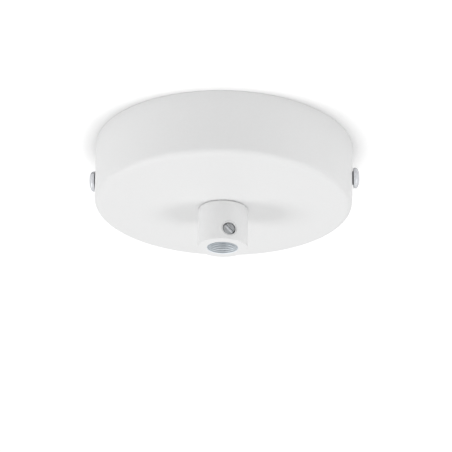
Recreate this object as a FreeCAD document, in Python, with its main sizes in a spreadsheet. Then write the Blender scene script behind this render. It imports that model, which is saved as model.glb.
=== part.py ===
import FreeCAD, Part
import os
import Sketcher

# A metal ceiling rose for a pendant lamp: a pressed cup on a bent bracket, with a cord grip under its
# middle. Origin: centre of the ceiling plane, which the cup's rim and the bracket's back touch. +Z points
# into the ceiling, X runs along the bracket from one side screw to the other, and -Y is the front.

doc = FreeCAD.newDocument("CeilingRose")

# Driving sizes, in millimetres and degrees
SIZES = [
    ("cup_diameter", 100, "outside of the cup"),
    ("cup_depth", 25, "ceiling to the cup's lower face"),
    ("cup_wall", 1.2, "sheet thickness of the cup"),
    ("cup_edge_round", 2.5, "outside round of the cup's lower edge"),
    ("cup_inner_bevel", 0.8, "bevel of the corner inside that edge"),
    ("cup_tube_hole", 10.5, "hole in the cup for the threaded tube"),
    ("cup_screw_hole", 4.6, "hole in the cup's wall for a side screw"),
    ("strap_width", 18, "width of the bracket's strip"),
    ("strap_thickness", 1.5, "thickness of the bracket's strip"),
    ("strap_bend_round", 1.5, "inside round of the bracket's bends"),
    ("ear_gap", 0.35, "from the corners of the bracket's ears to the cup's wall"),
    ("ear_drop", 18.5, "ceiling to the end of an ear"),
    ("ear_round", 4, "round of an ear's corners"),
    ("ceiling_slot_spacing", 60, "middle to middle of the two ceiling slots"),
    ("ceiling_slot_length", 12, "end to end of a ceiling slot"),
    ("ceiling_slot_width", 4.5, "width of a ceiling slot"),
    ("cable_hole", 10.5, "hole in the strap for the supply cable"),
    ("collar_height", 1.6, "how far a drawn thread collar stands out"),
    ("collar_wall", 1, "wall of a drawn thread collar"),
    ("thread_play", 0.05, "gap all round between a screw and its thread"),
    ("side_screw_drop", 12.5, "ceiling to the axis of the side screws"),
    ("side_screw_length", 8, "under the head of a side screw"),
    ("fixing_thread", 4, "thread of the side screws and the earth screw"),
    ("fixing_head", 8, "head diameter of those screws"),
    ("fixing_head_height", 2.4, "head height of those screws"),
    ("fixing_head_taper", 0.8, "how far a side screw's head narrows, on each side"),
    ("fixing_slot_width", 1.2, "slot width of those screws"),
    ("fixing_slot_depth", 1, "slot depth of those screws"),
    ("tip_back", 0.1, "how far a screw's tip stays below the ceiling"),
    ("tube_thread", 10, "outside of the threaded tube"),
    ("tube_bore", 8, "bore of the threaded tube"),
    ("tube_stand", 2, "how far the tube stands above its nut"),
    ("tube_end_gap", 0.5, "from the tube's lower end to the floor of its hole in the grip"),
    ("nut_across_flats", 14, "lock nut across its flats"),
    ("nut_height", 3, "height of the lock nut"),
    ("tube_washer_outer", 18, "outside of the toothed washer on the tube"),
    ("tube_washer_thickness", 0.8, "thickness of that washer"),
    ("tube_washer_notch", 1.8, "depth of its notches"),
    ("tube_washer_gap", 1.6, "width of its notches"),
    ("washer_play", 0.3, "gap all round between a washer and what it is on"),
    ("washer_teeth", 12, "teeth of a toothed washer"),
    ("grip_diameter", 19, "outside of the cord grip"),
    ("grip_height", 16, "height of the cord grip"),
    ("grip_chamfer", 0.4, "chamfer round the grip's lower end"),
    ("grip_thread_depth", 7, "depth of the tube's hole in the grip"),
    ("grip_bore", 11.7, "bore of the grip round the cord"),
    ("grip_mouth_chamfer", 0.5, "chamfer at the mouth of the bore"),
    ("clamp_angle", 20, "turn of the clamp screw from the front towards the right"),
    ("clamp_rise", 4.5, "clamp screw's axis above the grip's lower face"),
    ("clamp_thread", 5, "thread of the clamp screw"),
    ("clamp_length", 6, "length of the clamp screw"),
    ("clamp_bevel", 0.4, "bevel of the clamp screw's ends"),
    ("clamp_recess", 0.9, "clamp screw's face below the grip's wall"),
    ("clamp_sink_width", 6.1, "width of the sunk rim round the clamp screw"),
    ("clamp_sink_depth", 0.8, "depth of the straight part of that rim"),
    ("clamp_slot_width", 0.9, "slot width of the clamp screw"),
    ("clamp_slot_depth", 1.3, "slot depth of the clamp screw"),
    ("clamp_slot_turn", 42, "turn of that slot"),
    ("earth_reach", 16, "middle of the rose to the earth screw"),
    ("earth_washer_outer", 8, "outside of the earth screw's washer"),
    ("earth_washer_thickness", 0.8, "thickness of that washer"),
    ("earth_washer_notch", 0.9, "depth of its notches"),
    ("earth_washer_gap", 0.8, "width of its notches"),
    ("saddle_length", 10, "earth saddle from lip to lip, outside"),
    ("saddle_width", 9, "width of the earth saddle"),
    ("saddle_thickness", 1, "thickness of the earth saddle"),
    ("saddle_lip", 1.2, "height of the saddle's lips"),
    ("block_reach", 14.5, "middle of the rose to the middle of the terminal block"),
    ("block_depth", 17, "terminal block along its wires"),
    ("pole_pitch", 12, "one pole of the block to the next"),
    ("barrel_width", 7.2, "width of the barrel round one sleeve"),
    ("barrel_height", 9.4, "height of that barrel"),
    ("barrel_round", 2.6, "round of that barrel's free edges"),
    ("turret_diameter", 6.6, "turret round a terminal screw"),
    ("turret_height", 13.5, "height of the turrets, over the block's base"),
    ("turret_spacing", 8.8, "middle to middle of a pole's two screws"),
    ("web_length", 10, "web between two poles, along the wires"),
    ("web_thickness", 3.6, "thickness of that web"),
    ("sleeve_length", 14.6, "length of a terminal sleeve"),
    ("sleeve_width", 5, "width of a sleeve"),
    ("sleeve_height", 6.2, "height of a sleeve"),
    ("sleeve_bevel", 0.5, "bevel of a sleeve's edges"),
    ("sleeve_bore", 3.4, "wire bore of a sleeve"),
    ("sleeve_back_wall", 1, "sleeve's wall on the base side of its bore"),
    ("sleeve_seat", 1.6, "block's wall between its base and a sleeve"),
    ("seat_play", 0.1, "gap all round a part in its seat"),
    ("terminal_thread", 3, "thread of the terminal screws"),
    ("terminal_length", 5.4, "length of a terminal screw"),
    ("terminal_slot_width", 0.8, "slot width of those screws"),
    ("terminal_slot_depth", 0.9, "slot depth of those screws"),
    ("well_play", 0.5, "gap all round a terminal screw in its turret"),
    ("block_thread", 2.5, "thread of a block screw"),
    ("block_screw_head", 4.5, "head diameter of a block screw"),
    ("block_screw_head_height", 1.7, "head height of a block screw"),
]
sizes = doc.addObject("Spreadsheet::Sheet", "Sizes")
for row, (alias, number, meaning) in enumerate(SIZES, start=1):
    sizes.set(f"A{row}", meaning)
    sizes.set(f"B{row}", str(number))
    sizes.setAlias(f"B{row}", alias)
doc.recompute()

POLES = 3
EDGE_FLATS = 3

# Formulas that several pieces share, in terms of the sheet
CUP_RADIUS = "Sizes.cup_diameter / 2"
CUP_INSIDE = "(Sizes.cup_diameter / 2 - Sizes.cup_wall)"
CUP_FLOOR = "(Sizes.cup_wall - Sizes.cup_depth)"
EAR_OUTSIDE = f"(sqrt({CUP_INSIDE} ^ 2 - (Sizes.strap_width / 2) ^ 2) - Sizes.ear_gap)"
EAR_INSIDE = f"({EAR_OUTSIDE} - Sizes.strap_thickness)"
FIXING_TAPPED = "Sizes.fixing_thread / 2 + Sizes.thread_play"
TERMINAL_TAPPED = "Sizes.terminal_thread / 2 + Sizes.thread_play"
BLOCK_TAPPED = "Sizes.block_thread / 2 + Sizes.thread_play"
NUT_UNDERSIDE = f"({CUP_FLOOR} + Sizes.tube_washer_thickness)"
TUBE_TOP = f"({NUT_UNDERSIDE} + Sizes.nut_height + Sizes.tube_stand)"
TUBE_BOTTOM = "(-Sizes.cup_depth - Sizes.grip_thread_depth + Sizes.tube_end_gap)"
CLAMP_LEVEL = "(Sizes.clamp_rise - Sizes.cup_depth - Sizes.grip_height)"
BLOCK_BASE = "-Sizes.strap_thickness"
FIRST_POLE = f"-{POLES - 1} / 2 * Sizes.pole_pitch"
BLOCK_SCREW_OUT = f"({POLES - 2} / 2 * Sizes.pole_pitch)"
SLEEVE_BORE_LEVEL = "-(Sizes.sleeve_seat + Sizes.sleeve_back_wall + Sizes.sleeve_bore / 2)"
EARTH_STACK = "(Sizes.strap_thickness + Sizes.collar_height)"

pieces = []


def new_body(label):
    body = doc.addObject("PartDesign::Body", label)
    body.Label = label
    pieces.append(body)
    return body


def origin_feature(body, role):
    return next(feature for feature in body.Origin.OriginFeatures if feature.Role == role)


def place(body, x="0", y="0", z="0", rotation=FreeCAD.Rotation()):
    """Turns a body and holds its origin at three formulas."""
    body.Placement = FreeCAD.Placement(FreeCAD.Vector(), rotation)
    for axis, formula in (("x", x), ("y", y), ("z", z)):
        body.setExpression(f"Placement.Base.{axis}", formula)


def size(formula):
    return float(pieces[0].evalExpression(formula))


def new_sketch(body, name, plane, lift="0"):
    """A sketch on one of the body's own origin planes, lifted along that plane's normal."""
    sketch = body.newObject("Sketcher::SketchObject", name)
    sketch.AttachmentSupport = (origin_feature(body, plane), [""])
    sketch.MapMode = "FlatFace"
    sketch.setExpression("AttachmentOffset.Base.z", lift)
    return sketch


def constrain(sketch, constraints):
    """Adds pairs of a constraint and the formula that its value is bound to, or None."""
    first = sketch.ConstraintCount
    sketch.addConstraint([constraint for constraint, formula in constraints])
    for index, (constraint, formula) in enumerate(constraints, start=first):
        if formula:
            sketch.setExpression(f"Constraints[{index}]", formula)


def held_at(geometry, point, across, up):
    """Constraints that hold one point of a sketch at two formulas from the sketch's origin."""
    held = []
    for kind, axis, formula in (("DistanceX", -2, across), ("DistanceY", -1, up)):
        if abs(size(formula)) < 1e-9:
            held.append((Sketcher.Constraint("PointOnObject", geometry, point, axis), None))
        else:
            held.append((Sketcher.Constraint(kind, -1, 1, geometry, point, size(formula)), formula))
    return held


def outline(sketch, corners):
    """A closed outline of straight edges. A corner is two formulas, and a third one rounds it."""
    count = len(corners)
    points = [FreeCAD.Vector(size(corner[0]), size(corner[1]), 0) for corner in corners]
    rounds = [corner[2] if len(corner) > 2 else None for corner in corners]
    marks = [sketch.addGeometry(Part.Point(point), True) for point in points]
    constraints = []
    for mark, corner in zip(marks, corners):
        constraints += held_at(mark, 1, corner[0], corner[1])

    def corner_arc(index):
        """Start, middle and end of the arc that rounds a corner, or the bare corner three times."""
        corner = points[index]
        if not rounds[index]:
            return corner, corner, corner
        radius = size(rounds[index])
        back = (points[index - 1] - corner).normalize()
        on = (points[(index + 1) % count] - corner).normalize()
        halfway = (back + on).normalize()
        cosine = back.dot(halfway)
        sine = (1 - cosine ** 2) ** 0.5
        reach = radius * cosine / sine
        return corner + back * reach, corner + halfway * (radius / sine - radius), corner + on * reach

    arcs = [corner_arc(index) for index in range(count)]
    edges = []
    for index in range(count):
        following = (index + 1) % count
        edge = sketch.addGeometry(Part.LineSegment(arcs[index][2], arcs[following][0]))
        edges.append(edge)
        for mark, end in ((index, 1), (following, 2)):
            if rounds[mark]:
                constraints.append((Sketcher.Constraint("PointOnObject", marks[mark], 1, edge), None))
            else:
                constraints.append((Sketcher.Constraint("Coincident", marks[mark], 1, edge, end), None))
    for index in range(count):
        if rounds[index]:
            arc = sketch.addGeometry(Part.Arc(*arcs[index]))
            starts_here = (sketch.getPoint(arc, 1) - arcs[index][0]).Length < 1e-6
            near, far = (1, 2) if starts_here else (2, 1)
            constraints.append((Sketcher.Constraint("Tangent", edges[index - 1], 2, arc, near), None))
            constraints.append((Sketcher.Constraint("Tangent", edges[index], 1, arc, far), None))
            constraints.append((Sketcher.Constraint("Radius", arc, size(rounds[index])), rounds[index]))
    constrain(sketch, constraints)


def circle(sketch, across, up, radius):
    centre = FreeCAD.Vector(size(across), size(up), 0)
    ring = sketch.addGeometry(Part.Circle(centre, FreeCAD.Vector(0, 0, 1), size(radius)))
    held = held_at(ring, 3, across, up)
    constrain(sketch, held + [(Sketcher.Constraint("Radius", ring, size(radius)), radius)])


def slot(sketch, across, up, length, width):
    """A round-ended slot along the sketch's first axis."""
    radius = f"({width} / 2)"
    reach = f"(({length} - {width}) / 2)"
    ends = [f"{across} + {reach}", f"{across} - {reach}"]
    right, left = [FreeCAD.Vector(size(end), size(up), 0) for end in ends]
    rise = FreeCAD.Vector(0, size(radius), 0)
    bulge = FreeCAD.Vector(size(radius), 0, 0)
    arc_right = sketch.addGeometry(Part.Arc(right - rise, right + bulge, right + rise))
    top = sketch.addGeometry(Part.LineSegment(right + rise, left + rise))
    arc_left = sketch.addGeometry(Part.Arc(left + rise, left - bulge, left - rise))
    bottom = sketch.addGeometry(Part.LineSegment(left - rise, right - rise))
    constraints = held_at(arc_right, 3, ends[0], up) + held_at(arc_left, 3, ends[1], up)
    for arc, before, after in ((arc_right, bottom, top), (arc_left, top, bottom)):
        constraints.append((Sketcher.Constraint("Tangent", before, 2, arc, 1), None))
        constraints.append((Sketcher.Constraint("Tangent", arc, 2, after, 1), None))
        constraints.append((Sketcher.Constraint("Radius", arc, size(radius)), radius))
    constrain(sketch, constraints)


def revolve(body, sketch, name="Turned"):
    turned = body.newObject("PartDesign::Revolution", name)
    turned.Profile = sketch
    turned.ReferenceAxis = (sketch, ["V_Axis"])
    turned.Angle = 360
    doc.recompute()
    return turned


def pad(body, sketch, name, length, symmetric=False, reverse=False):
    feature = body.newObject("PartDesign::Pad", name)
    feature.Profile = sketch
    feature.setExpression("Length", length)
    feature.SideType = "Symmetric" if symmetric else "One side"
    feature.Reversed = reverse
    doc.recompute()
    return feature


def check_cut(body, before, name):
    doc.recompute()
    if body.Shape.Volume > before - 1e-6:
        raise RuntimeError(f"{name} takes nothing off {body.Label}")


def pocket(body, sketch, name, symmetric=False, reverse=False):
    """Cuts a sketch right through the body, along its plane's normal if reverse is set, else against it."""
    before = body.Shape.Volume
    feature = body.newObject("PartDesign::Pocket", name)
    feature.Profile = sketch
    feature.Type = "ThroughAll"
    feature.SideType = "Symmetric" if symmetric else "One side"
    feature.Reversed = reverse
    check_cut(body, before, name)
    return feature


def groove(body, sketch, name, axis):
    before = body.Shape.Volume
    feature = body.newObject("PartDesign::Groove", name)
    feature.Profile = sketch
    feature.ReferenceAxis = (sketch, [axis])
    feature.Angle = 360
    check_cut(body, before, name)
    return feature


def fillet(body, name, radius, picks):
    """Rounds the edges of the body's last feature that picks says yes to."""
    base = body.Tip
    names = [f"Edge{number}" for number, edge in enumerate(base.Shape.Edges, start=1) if picks(edge)]
    feature = body.newObject("PartDesign::Fillet", name)
    feature.Base = (base, names)
    feature.setExpression("Radius", radius)
    doc.recompute()
    return feature


def row_of(body, features, name, axis, spacing, count):
    pattern = body.newObject("PartDesign::LinearPattern", name)
    pattern.Originals = features
    pattern.Direction = (origin_feature(body, axis), [""])
    pattern.Mode = "Spacing"
    pattern.setExpression("Offset", spacing)
    pattern.Occurrences = count
    body.Tip = pattern
    doc.recompute()
    return pattern


def ring_of(body, features, name, count):
    pattern = body.newObject("PartDesign::PolarPattern", name)
    pattern.Originals = features
    pattern.Axis = (origin_feature(body, "Z_Axis"), [""])
    pattern.Angle = 360
    pattern.setExpression("Occurrences", count)
    body.Tip = pattern
    doc.recompute()
    return pattern


def cut_driver_slot(body, width, depth, top, reach):
    """A straight slot across a screw's top face."""
    sketch = new_sketch(body, "SlotOutline", "XY_Plane", f"{top} - {depth}")
    outline(sketch, [
        (f"-{reach}", f"-{width} / 2"),
        (reach, f"-{width} / 2"),
        (reach, f"{width} / 2"),
        (f"-{reach}", f"{width} / 2"),
    ])
    pocket(body, sketch, "DriverSlot", reverse=True)


def pan_screw(label, thread, length, head, head_height, slot_width, slot_depth, taper="0"):
    """A slotted screw whose head, straight or tapered, stands on z = 0 and whose shank hangs below."""
    body = new_body(label)
    sketch = new_sketch(body, "HalfSection", "XZ_Plane")
    shank = f"{thread} / 2"
    outline(sketch, [
        ("0", f"-{length}"),
        (shank, f"-{length}"),
        (shank, "0"),
        (f"{head} / 2", "0"),
        (f"{head} / 2 - {taper}", head_height),
        ("0", head_height),
    ])
    revolve(body, sketch)
    cut_driver_slot(body, slot_width, slot_depth, head_height, head)
    return body


def headless_screw(label, thread, length, slot_width, slot_depth, bevel=None):
    """A slotted headless screw, with plain or beveled ends: its face lies on z = 0 and it hangs below."""
    body = new_body(label)
    sketch = new_sketch(body, "HalfSection", "XZ_Plane")
    outer = f"{thread} / 2"
    lower_end, upper_end = [(outer, f"-{length}")], [(outer, "0")]
    if bevel:
        lower_end = [(f"{outer} - {bevel}", f"-{length}"), (outer, f"{bevel} - {length}")]
        upper_end = [(outer, f"-{bevel}"), (f"{outer} - {bevel}", "0")]
    outline(sketch, [("0", f"-{length}")] + lower_end + upper_end + [("0", "0")])
    revolve(body, sketch)
    cut_driver_slot(body, slot_width, slot_depth, "0", thread)
    return body


def toothed_washer(label, bore, outer, thickness, notch, gap):
    """A flat ring with a ring of notches, which leave its teeth, cut into its outer edge."""
    body = new_body(label)
    sketch = new_sketch(body, "Ring", "XY_Plane")
    circle(sketch, "0", "0", f"{outer} / 2")
    circle(sketch, "0", "0", f"{bore} / 2 + Sizes.washer_play")
    pad(body, sketch, "Blank", thickness)
    notch_sketch = new_sketch(body, "NotchOutline", "XY_Plane")
    floor = f"({outer} / 2 - {notch})"
    outline(notch_sketch, [
        (floor, f"-{gap} / 3"),
        (f"{outer} / 2 + {gap}", f"-{gap}"),
        (f"{outer} / 2 + {gap}", gap),
        (floor, f"{gap} / 3"),
    ])
    ring_of(body, [pocket(body, notch_sketch, "Notch", symmetric=True)], "Teeth", "Sizes.washer_teeth")
    return body


# Cup: one pressed sheet, a flat floor under a straight wall, with a hole for the tube and two for screws.
# Its lower edge is rolled round in a few narrow flats, whose corners lie on a quarter circle.
cup = new_body("cup")
cup_section = new_sketch(cup, "HalfSection", "XZ_Plane")
edge_turns = [90 * flat / EDGE_FLATS for flat in range(EDGE_FLATS + 1)]
rolled_edge = [(f"{CUP_RADIUS} - Sizes.cup_edge_round * (1 - sin({turn}))",
                f"Sizes.cup_edge_round * (1 - cos({turn})) - Sizes.cup_depth") for turn in edge_turns]
outline(cup_section, [("Sizes.cup_tube_hole / 2", "-Sizes.cup_depth")] + rolled_edge + [
    (CUP_RADIUS, "0"),
    (CUP_INSIDE, "0"),
    (CUP_INSIDE, f"{CUP_FLOOR} + Sizes.cup_inner_bevel"),
    (f"{CUP_INSIDE} - Sizes.cup_inner_bevel", CUP_FLOOR),
    ("Sizes.cup_tube_hole / 2", CUP_FLOOR),
])
revolve(cup, cup_section)
cup_holes = new_sketch(cup, "SideHoles", "YZ_Plane")
circle(cup_holes, "0", "-Sizes.side_screw_drop", "Sizes.cup_screw_hole / 2")
pocket(cup, cup_holes, "ScrewHoles", symmetric=True)

# Ceiling bracket: one strip bent down at both ends, with its screw threads drawn out of the sheet as collars
bracket = new_body("ceiling_bracket")
bracket_side = new_sketch(bracket, "SideProfile", "XZ_Plane")
outline(bracket_side, [
    (f"-{EAR_OUTSIDE}", "0", "Sizes.strap_bend_round + Sizes.strap_thickness"),
    (f"-{EAR_OUTSIDE}", "-Sizes.ear_drop"),
    (f"-{EAR_INSIDE}", "-Sizes.ear_drop"),
    (f"-{EAR_INSIDE}", "-Sizes.strap_thickness", "Sizes.strap_bend_round"),
    (EAR_INSIDE, "-Sizes.strap_thickness", "Sizes.strap_bend_round"),
    (EAR_INSIDE, "-Sizes.ear_drop"),
    (EAR_OUTSIDE, "-Sizes.ear_drop"),
    (EAR_OUTSIDE, "0", "Sizes.strap_bend_round + Sizes.strap_thickness"),
])
pad(bracket, bracket_side, "BentStrip", "Sizes.strap_width", symmetric=True)


def is_ear_corner(edge):
    ends = [vertex.Point for vertex in edge.Vertexes]
    at_end = all(abs(point.z + size("Sizes.ear_drop")) < 1e-6 for point in ends)
    return at_end and abs(ends[0].y - ends[-1].y) < 1e-6


fillet(bracket, "EarCorners", "Sizes.ear_round", is_ear_corner)
ear_collar = new_sketch(bracket, "EarCollarOutline", "YZ_Plane", f"-{EAR_INSIDE}")
circle(ear_collar, "0", "-Sizes.side_screw_drop", "Sizes.fixing_thread / 2 + Sizes.collar_wall")
left_collar = pad(bracket, ear_collar, "EarCollar", "Sizes.collar_height")
both_collars = bracket.newObject("PartDesign::Mirrored", "BothEarCollars")
both_collars.Originals = [left_collar]
both_collars.MirrorPlane = (origin_feature(bracket, "YZ_Plane"), [""])
bracket.Tip = both_collars
earth_collar = new_sketch(bracket, "EarthCollarOutline", "XY_Plane", "-Sizes.strap_thickness")
circle(earth_collar, "-Sizes.earth_reach", "0", "Sizes.fixing_thread / 2 + Sizes.collar_wall")
pad(bracket, earth_collar, "EarthCollar", "Sizes.collar_height", reverse=True)
ear_threads = new_sketch(bracket, "EarThreadOutline", "YZ_Plane")
circle(ear_threads, "0", "-Sizes.side_screw_drop", FIXING_TAPPED)
pocket(bracket, ear_threads, "EarThreads", symmetric=True)
strap_holes = new_sketch(bracket, "StrapHoles", "XY_Plane")
for side in ("-", ""):
    slot(strap_holes, f"{side}Sizes.ceiling_slot_spacing / 2", "0",
         "Sizes.ceiling_slot_length", "Sizes.ceiling_slot_width")
    circle(strap_holes, "Sizes.block_reach", f"{side}{BLOCK_SCREW_OUT}", BLOCK_TAPPED)
circle(strap_holes, "0", "0", "Sizes.cable_hole / 2")
circle(strap_holes, "-Sizes.earth_reach", "0", FIXING_TAPPED)
pocket(bracket, strap_holes, "StrapOpenings", symmetric=True)

# Side screws: they pass through the cup's wall into the bracket's ears and carry the cup
FIXING_HEAD = ["Sizes.fixing_head", "Sizes.fixing_head_height"]
FIXING_SLOT = ["Sizes.fixing_slot_width", "Sizes.fixing_slot_depth"]
for side_name, sign, turn in (("left", "-", -90), ("right", "", 90)):
    side_screw = pan_screw(
        f"side_screw_{side_name}", "Sizes.fixing_thread", "Sizes.side_screw_length",
        *FIXING_HEAD, *FIXING_SLOT, taper="Sizes.fixing_head_taper")
    outward = FreeCAD.Rotation(FreeCAD.Vector(0, 1, 0), turn)
    place(side_screw, x=f"{sign}{CUP_RADIUS}", z="-Sizes.side_screw_drop", rotation=outward)

# Threaded tube: it hangs the grip under the cup and leads the cord through both
tube = new_body("threaded_tube")
tube_section = new_sketch(tube, "HalfSection", "XZ_Plane")
TUBE_RADIUS = "Sizes.tube_thread / 2"
outline(tube_section, [
    ("Sizes.tube_bore / 2", TUBE_BOTTOM),
    (TUBE_RADIUS, TUBE_BOTTOM),
    (TUBE_RADIUS, TUBE_TOP),
    ("Sizes.tube_bore / 2", TUBE_TOP),
])
revolve(tube, tube_section)

# Toothed washer and lock nut: they hold the tube to the cup's floor
tube_washer = toothed_washer(
    "toothed_washer", "Sizes.tube_thread", "Sizes.tube_washer_outer",
    "Sizes.tube_washer_thickness", "Sizes.tube_washer_notch", "Sizes.tube_washer_gap")
place(tube_washer, z=CUP_FLOOR)

nut = new_body("lock_nut")
nut_flats = new_sketch(nut, "Hexagon", "XY_Plane")
NUT_FLAT = "Sizes.nut_across_flats / 2"
NUT_CORNER = "(Sizes.nut_across_flats / sqrt(3))"
outline(nut_flats, [
    (NUT_CORNER, "0"),
    (f"{NUT_CORNER} / 2", NUT_FLAT),
    (f"-{NUT_CORNER} / 2", NUT_FLAT),
    (f"-{NUT_CORNER}", "0"),
    (f"-{NUT_CORNER} / 2", f"-{NUT_FLAT}"),
    (f"{NUT_CORNER} / 2", f"-{NUT_FLAT}"),
])
circle(nut_flats, "0", "0", f"{TUBE_RADIUS} + Sizes.thread_play")
pad(nut, nut_flats, "Blank", "Sizes.nut_height")
place(nut, z=NUT_UNDERSIDE)

# Cord grip: a turned cylinder with the tube's thread above, the cord's wider bore below and the clamp
# screw's tapped hole through its wall. Its local origin is the middle of its upper face, against the cup.
grip = new_body("cord_grip")
GRIP_RADIUS = "Sizes.grip_diameter / 2"
GRIP_BORE = "Sizes.grip_bore / 2"
GRIP_TAPPED = f"{TUBE_RADIUS} + Sizes.thread_play"
grip_section = new_sketch(grip, "HalfSection", "XZ_Plane")
outline(grip_section, [
    (GRIP_TAPPED, "0"),
    (GRIP_RADIUS, "0"),
    (GRIP_RADIUS, "Sizes.grip_chamfer - Sizes.grip_height"),
    (f"{GRIP_RADIUS} - Sizes.grip_chamfer", "-Sizes.grip_height"),
    (f"{GRIP_BORE} + Sizes.grip_mouth_chamfer", "-Sizes.grip_height"),
    (GRIP_BORE, "Sizes.grip_mouth_chamfer - Sizes.grip_height"),
    (GRIP_BORE, "-Sizes.grip_thread_depth"),
    (GRIP_TAPPED, "-Sizes.grip_thread_depth"),
])
revolve(grip, grip_section)
# The screw's hole is turned about a level axis that points out of the grip's wall
clamp_hole = new_sketch(grip, "ClampHoleSection", "XY_Plane", "Sizes.clamp_rise - Sizes.grip_height")
towards_screw = FreeCAD.Rotation(FreeCAD.Vector(0, 0, 1), size("Sizes.clamp_angle - 90"))
clamp_hole.AttachmentOffset = FreeCAD.Placement(clamp_hole.AttachmentOffset.Base, towards_screw)
CLAMP_TAPPED = "Sizes.clamp_thread / 2 + Sizes.thread_play"
SINK_RADIUS = "Sizes.clamp_sink_width / 2"
SINK_FLOOR = f"({GRIP_RADIUS} - Sizes.clamp_sink_depth)"
outline(clamp_hole, [
    (f"{GRIP_BORE} / 2", "0"),
    (f"{GRIP_RADIUS} + 1", "0"),
    (f"{GRIP_RADIUS} + 1", SINK_RADIUS),
    (SINK_FLOOR, SINK_RADIUS),
    (f"{SINK_FLOOR} - ({SINK_RADIUS} - {CLAMP_TAPPED.replace(' + ', ' - ')})", CLAMP_TAPPED),
    (f"{GRIP_BORE} / 2", CLAMP_TAPPED),
])
groove(grip, clamp_hole, "ClampHole", "H_Axis")
place(grip, z="-Sizes.cup_depth")

# Clamp screw: it crosses the grip's wall and presses on the cord
clamp = headless_screw("clamp_screw", "Sizes.clamp_thread", "Sizes.clamp_length",
                       "Sizes.clamp_slot_width", "Sizes.clamp_slot_depth", "Sizes.clamp_bevel")
upright_to_out = FreeCAD.Rotation(FreeCAD.Vector(0, 0, 1), size("Sizes.clamp_angle"))
upright_to_out = upright_to_out * FreeCAD.Rotation(FreeCAD.Vector(1, 0, 0), 90)
upright_to_out = upright_to_out * FreeCAD.Rotation(FreeCAD.Vector(0, 0, 1), -size("Sizes.clamp_slot_turn"))
CLAMP_FACE = f"({GRIP_RADIUS} - Sizes.clamp_recess)"
place(clamp, x=f"{CLAMP_FACE} * sin(Sizes.clamp_angle)", y=f"-{CLAMP_FACE} * cos(Sizes.clamp_angle)",
      z=CLAMP_LEVEL, rotation=upright_to_out)

# Terminal block housing: one moulding with a barrel and two turrets round each pole, and webs between them.
# Its base lies on z = 0 and its screws face down, so that wires are fitted with the cup off.
housing = new_body("terminal_housing")
barrel_end = new_sketch(housing, "BarrelEnd", "YZ_Plane")
outline(barrel_end, [
    (f"{FIRST_POLE} - Sizes.barrel_width / 2", "0"),
    (f"{FIRST_POLE} + Sizes.barrel_width / 2", "0"),
    (f"{FIRST_POLE} + Sizes.barrel_width / 2", "-Sizes.barrel_height", "Sizes.barrel_round"),
    (f"{FIRST_POLE} - Sizes.barrel_width / 2", "-Sizes.barrel_height", "Sizes.barrel_round"),
])
barrel = pad(housing, barrel_end, "Barrel", "Sizes.block_depth", symmetric=True)
turret_rings = new_sketch(housing, "TurretRings", "XY_Plane")
for side in ("-", ""):
    circle(turret_rings, f"{side}Sizes.turret_spacing / 2", FIRST_POLE, "Sizes.turret_diameter / 2")
turrets = pad(housing, turret_rings, "Turrets", "Sizes.turret_height", reverse=True)
row_of(housing, [barrel, turrets], "Poles", "Y_Axis", "Sizes.pole_pitch", POLES)
web_plan = new_sketch(housing, "WebPlan", "XY_Plane")
outline(web_plan, [
    ("-Sizes.web_length / 2", FIRST_POLE),
    ("Sizes.web_length / 2", FIRST_POLE),
    ("Sizes.web_length / 2", f"-({FIRST_POLE})"),
    ("-Sizes.web_length / 2", f"-({FIRST_POLE})"),
])
pad(housing, web_plan, "Webs", "Sizes.web_thickness", reverse=True)
screw_ways = new_sketch(housing, "ScrewWays", "XY_Plane")
for side in ("-", ""):
    circle(screw_ways, "0", f"{side}{BLOCK_SCREW_OUT}", "Sizes.block_thread / 2 + Sizes.seat_play")
pocket(housing, screw_ways, "ScrewHoles", symmetric=True)


def sleeve_outline(sketch, pole, play):
    """A sleeve's section round one pole, made larger all round by the play."""
    half = f"(Sizes.sleeve_width / 2 + {play})"
    top = f"({play} - Sizes.sleeve_seat)"
    bottom = f"(-Sizes.sleeve_seat - Sizes.sleeve_height - {play})"
    narrow = f"({half} - Sizes.sleeve_bevel)"
    outline(sketch, [
        (f"{pole} - {narrow}", top),
        (f"{pole} + {narrow}", top),
        (f"{pole} + {half}", f"{top} - Sizes.sleeve_bevel"),
        (f"{pole} + {half}", f"{bottom} + Sizes.sleeve_bevel"),
        (f"{pole} + {narrow}", bottom),
        (f"{pole} - {narrow}", bottom),
        (f"{pole} - {half}", f"{bottom} + Sizes.sleeve_bevel"),
        (f"{pole} - {half}", f"{top} - Sizes.sleeve_bevel"),
    ])


tunnel_end = new_sketch(housing, "TunnelEnd", "YZ_Plane")
sleeve_outline(tunnel_end, FIRST_POLE, "Sizes.seat_play")
tunnel = pocket(housing, tunnel_end, "Tunnel", symmetric=True)
well_rings = new_sketch(housing, "WellRings", "XY_Plane", SLEEVE_BORE_LEVEL)
WELL_RADIUS = "Sizes.terminal_thread / 2 + Sizes.well_play"
for side in ("-", ""):
    circle(well_rings, f"{side}Sizes.turret_spacing / 2", FIRST_POLE, WELL_RADIUS)
wells = pocket(housing, well_rings, "Wells")
row_of(housing, [tunnel, wells], "PoleCavities", "Y_Axis", "Sizes.pole_pitch", POLES)
place(housing, x="Sizes.block_reach", z=BLOCK_BASE)

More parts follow.
